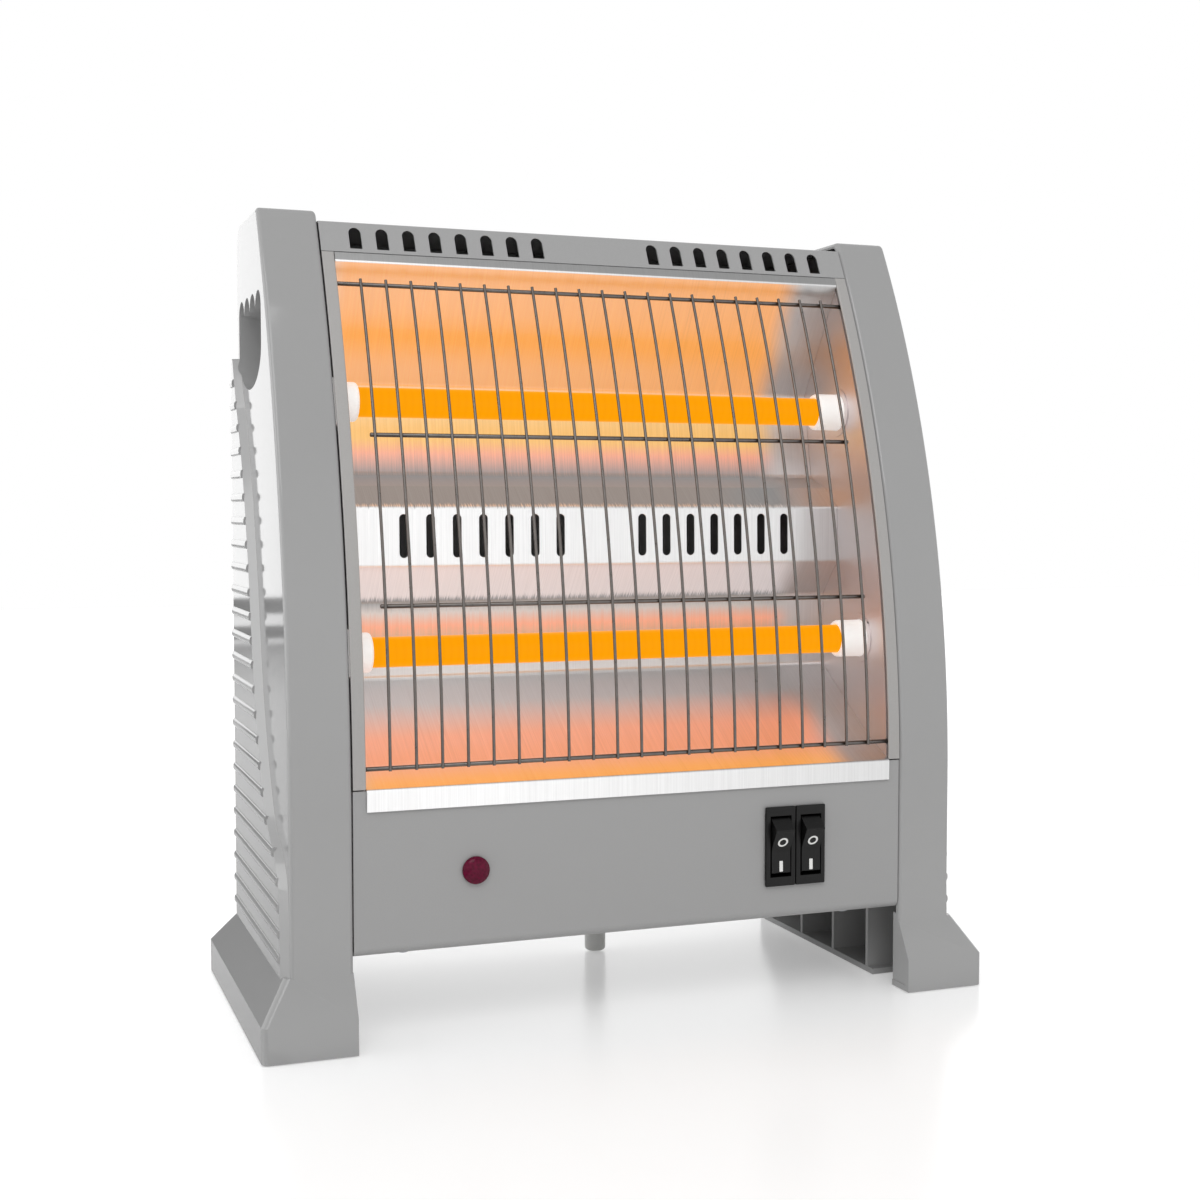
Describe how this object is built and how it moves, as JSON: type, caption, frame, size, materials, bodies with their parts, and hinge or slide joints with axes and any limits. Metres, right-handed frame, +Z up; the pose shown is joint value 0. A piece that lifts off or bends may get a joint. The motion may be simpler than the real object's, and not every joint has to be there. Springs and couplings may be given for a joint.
{
  "type": "quartz heater",
  "caption": "Free-standing quartz heater: bowed wire guard before glowing tubes and a folded reflector, between moulded side covers with grip recesses and flared feet.",
  "frame": {"origin": "on the floor under the middle of the feet, at the bottom centre of the bounding box", "axes": "+X to the heater's right as seen from the front, +Y to the back, +Z up; the window faces -Y"},
  "size_m": [0.32, 0.148, 0.3375],
  "materials": {
    "cover_plastic": "semi-gloss moulded grey ABS",
    "painted_sheet": "grey semi-gloss powder coat on sheet steel",
    "reflector_aluminium": "fine upright brushing, bright",
    "quartz_glow": "quartz tube glowing orange",
    "heating_wire": "oxidised resistance wire",
    "ceramic": "unglazed white ceramic",
    "plated_steel": "zinc-plated steel",
    "guard_wire": "nickel-plated steel wire",
    "black_plastic": "moulded black, satin",
    "white_plastic": "moulded white, satin",
    "red_lens": "dark crimson transparent lens"
  },
  "bodies": {
    "root": {"side_cover_left": "cover_plastic", "side_cover_right": "cover_plastic", "trim_strip_left": "painted_sheet", "trim_strip_right": "painted_sheet", "top_panel": "painted_sheet", "back_panel": "painted_sheet", "lower_panel": "painted_sheet", "base_plate": "painted_sheet", "reflector": "reflector_aluminium", "end_plate_left": "reflector_aluminium", "end_plate_right": "reflector_aluminium", "quartz_tube_upper": "quartz_glow", "quartz_tube_lower": "quartz_glow", "heating_coil_upper": "heating_wire", "heating_coil_lower": "heating_wire", "ceramic_cap_upper_left": "ceramic", "ceramic_cap_upper_right": "ceramic", "ceramic_cap_lower_left": "ceramic", "ceramic_cap_lower_right": "ceramic", "terminal_stud_upper_left": "plated_steel", "terminal_stud_upper_right": "plated_steel", "terminal_stud_lower_left": "plated_steel", "terminal_stud_lower_right": "plated_steel", "guard_grille": "guard_wire", "switch_body_left": "black_plastic", "switch_body_right": "black_plastic", "neon_lens": "red_lens", "neon_clip": "plated_steel", "tip_switch_body": "black_plastic", "tip_switch_spring": "plated_steel", "terminal_block": "white_plastic", "thermal_cutout": "black_plastic", "cord_bush": "black_plastic", "cover_screw_left_1": "plated_steel", "cover_screw_left_2": "plated_steel", "cover_screw_left_3": "plated_steel", "cover_screw_left_4": "plated_steel", "cover_screw_right_1": "plated_steel", "cover_screw_right_2": "plated_steel", "cover_screw_right_3": "plated_steel", "cover_screw_right_4": "plated_steel", "back_screw_top_left": "plated_steel", "back_screw_top_right": "plated_steel", "back_screw_low_left": "plated_steel", "back_screw_low_right": "plated_steel", "base_screw_left": "plated_steel", "base_screw_right": "plated_steel"},
    "left_rocker": {"rocker_left": "black_plastic"},
    "right_rocker": {"rocker_right": "black_plastic"},
    "plunger": {"tip_switch_plunger": "white_plastic"}
  },
  "joints": [
    {"name": "left_rocker_tip", "type": "hinge", "parent": "root", "child": "left_rocker", "pos_m": [0.06355, -0.0614, 0.06765], "axis": [1, 0, 0], "range_deg": [-24, 0]},
    {"name": "right_rocker_tip", "type": "hinge", "parent": "root", "child": "right_rocker", "pos_m": [0.0779, -0.0614, 0.06765], "axis": [1, 0, 0], "range_deg": [-24, 0]},
    {"name": "plunger_slide", "type": "slide", "parent": "root", "child": "plunger", "axis": [0, 0, 1], "range_m": [-0.006, 0], "stiffness_N_per_m": 60, "springref_m": -0.009, "deforming": ["tip_switch_spring"]}
  ]
}
